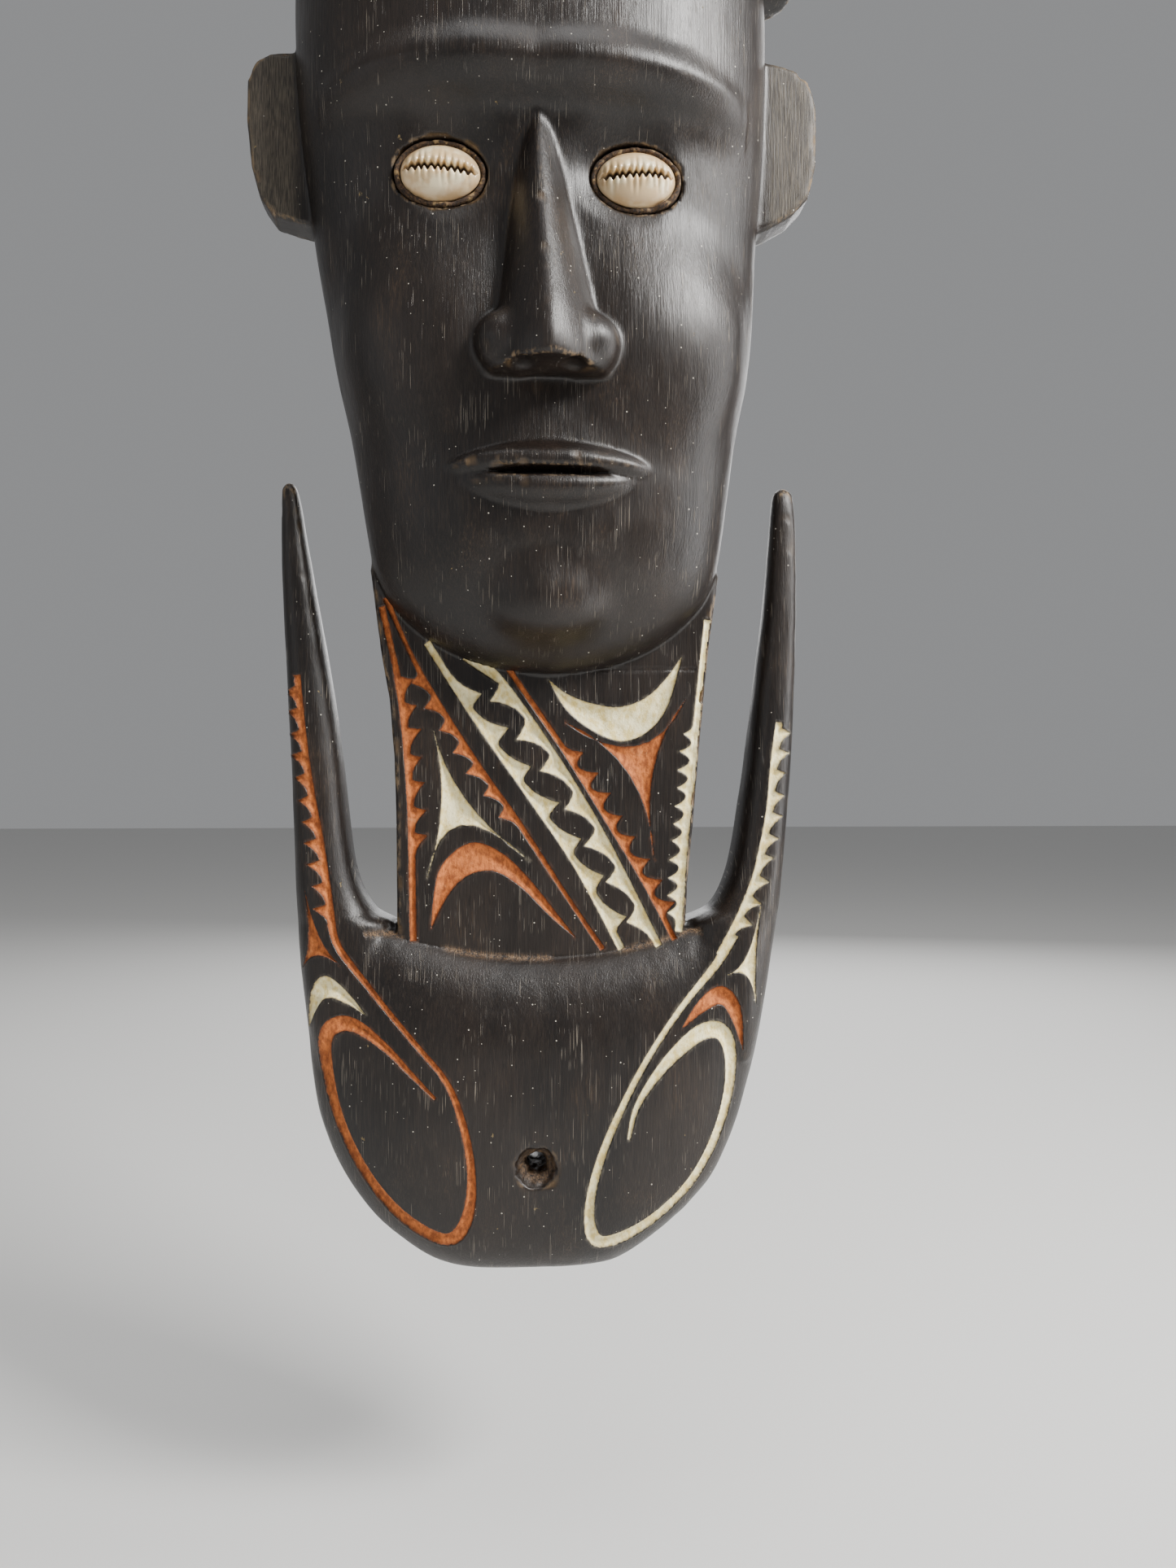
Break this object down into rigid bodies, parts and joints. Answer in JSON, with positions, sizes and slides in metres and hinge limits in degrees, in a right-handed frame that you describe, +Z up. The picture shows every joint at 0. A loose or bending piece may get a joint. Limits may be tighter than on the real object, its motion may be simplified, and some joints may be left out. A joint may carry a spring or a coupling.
{
  "type": "carved wooden suspension hook with mask-like head",
  "caption": "Carved dark wood hanging hook: mask-like head with slab ears and cowrie-shell eyes, a neck panel with painted grooves, and an anchor-shaped hook with long upright prongs below.",
  "frame": {"origin": "centre of the hanging hole, on the flat back plane", "axes": "+Z up along the carving, -Y out of the front (face side), +X to the viewer's right"},
  "size_m": [0.1675, 0.0667, 0.4736],
  "materials": {
    "stained_wood": "dark stained, satin, grooves rubbed with lime and ochre",
    "shell": "gloss",
    "putty": "matte"
  },
  "bodies": {
    "root": {"carved_body": "stained_wood", "left_cowrie": "shell", "right_cowrie": "shell", "left_eye_bedding": "putty", "right_eye_bedding": "putty"}
  },
  "joints": []
}
